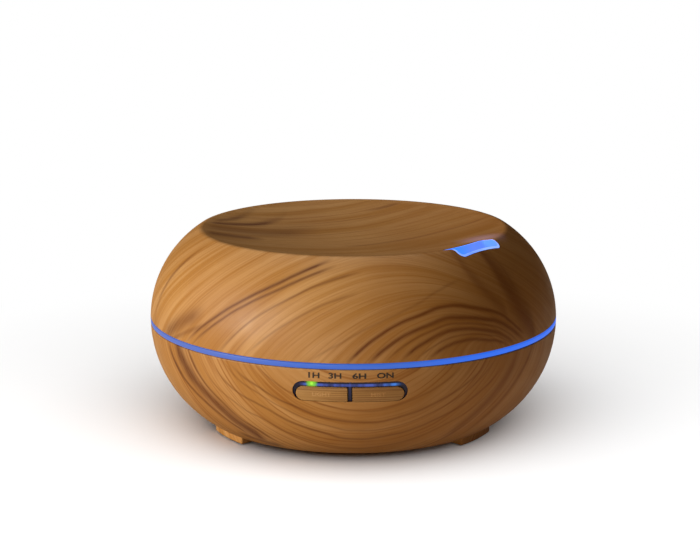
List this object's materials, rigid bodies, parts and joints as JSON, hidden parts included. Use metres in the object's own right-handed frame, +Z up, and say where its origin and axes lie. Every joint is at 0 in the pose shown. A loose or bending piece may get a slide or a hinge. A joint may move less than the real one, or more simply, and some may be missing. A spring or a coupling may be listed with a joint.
{
  "type": "essential oil diffuser",
  "caption": "Round table-top ultrasonic diffuser with a wood-grain shell, a lift-off dished cover, a glowing seam ring, a lit mist outlet and a button panel.",
  "frame": {"origin": "on the ground, under the axis of the round body", "axes": "+Z up along the body's axis; the front with the buttons faces -Y; +X to the right of someone who faces the front"},
  "size_m": [0.168, 0.168, 0.0815],
  "materials": {
    "wood_grain": "satin plastic with a printed wood grain",
    "blue_translucent": "translucent plastic lit blue from inside",
    "white_plastic": "smooth moulded",
    "frosted_plastic": "frosted translucent",
    "black_plastic": "moulded",
    "smoky_plastic": "smoky translucent, polished",
    "led_lens": "clear lens",
    "silicone": "soft matt",
    "black_rubber": "matt",
    "circuit_board": "solder mask",
    "screw_steel": "zinc plated",
    "disc_metal": "polished",
    "coil_copper": "enamelled wire",
    "sink_aluminium": "extruded",
    "wire_insulation": "PVC"
  },
  "bodies": {
    "base": {"light_ring": "blue_translucent", "lower_bowl": "wood_grain", "bottom_cover": "black_plastic", "base_screw_1": "screw_steel", "base_screw_2": "screw_steel", "base_screw_3": "screw_steel", "base_screw_4": "screw_steel", "foot_pad_1": "black_rubber", "foot_pad_2": "black_rubber", "foot_pad_3": "black_rubber", "foot_pad_4": "black_rubber", "water_tank": "frosted_plastic", "tank_gasket": "silicone", "piezo_seal": "silicone", "piezo_disc": "disc_metal", "piezo_clamp": "black_plastic", "piezo_screw_1": "screw_steel", "piezo_screw_2": "screw_steel", "piezo_screw_3": "screw_steel", "panel_bezel": "smoky_plastic", "panel_board": "circuit_board", "panel_screw_1": "screw_steel", "panel_screw_2": "screw_steel", "timer_led_1h": "led_lens", "timer_led_3h": "led_lens", "timer_led_6h": "led_lens", "timer_led_on": "led_lens", "light_switch": "black_plastic", "mist_switch": "black_plastic", "fan_frame": "black_plastic", "fan_duct": "black_plastic", "fan_screw_1": "screw_steel", "fan_screw_2": "screw_steel", "main_board": "circuit_board", "driver_coil": "coil_copper", "capacitor": "black_plastic", "heat_sink": "sink_aluminium", "light_board": "circuit_board", "mood_led_1": "led_lens", "mood_led_2": "led_lens", "mood_led_3": "led_lens", "mood_led_4": "led_lens", "power_inlet": "black_plastic", "piezo_lead": "wire_insulation", "fan_lead": "wire_insulation", "power_lead": "wire_insulation", "panel_lead": "wire_insulation", "light_lead": "wire_insulation"},
    "cover": {"upper_cover": "wood_grain", "mist_outlet": "blue_translucent", "inner_lid": "white_plastic", "lid_screw_1": "screw_steel", "lid_screw_2": "screw_steel", "lid_screw_3": "screw_steel"},
    "light_button": {"light_button": "wood_grain", "light_stem": "white_plastic"},
    "mist_button": {"mist_button": "wood_grain", "mist_stem": "white_plastic"},
    "fan_rotor": {"fan_rotor": "black_plastic"}
  },
  "joints": [
    {"name": "cover_lift", "type": "slide", "parent": "base", "child": "cover", "axis": [0, 0, 1], "range_m": [0, 0.12]},
    {"name": "light_button_press", "type": "slide", "parent": "base", "child": "light_button", "axis": [0, 1, 0], "range_m": [0, 0.0005], "stiffness_N_per_m": 2000, "springref_m": -0.0003},
    {"name": "mist_button_press", "type": "slide", "parent": "base", "child": "mist_button", "axis": [0, 1, 0], "range_m": [0, 0.0005], "stiffness_N_per_m": 2000, "springref_m": -0.0003},
    {"name": "fan_spin", "type": "hinge", "parent": "base", "child": "fan_rotor", "pos_m": [0, 0.038, 0.012], "axis": [0, 0, 1], "continuous": true}
  ]
}
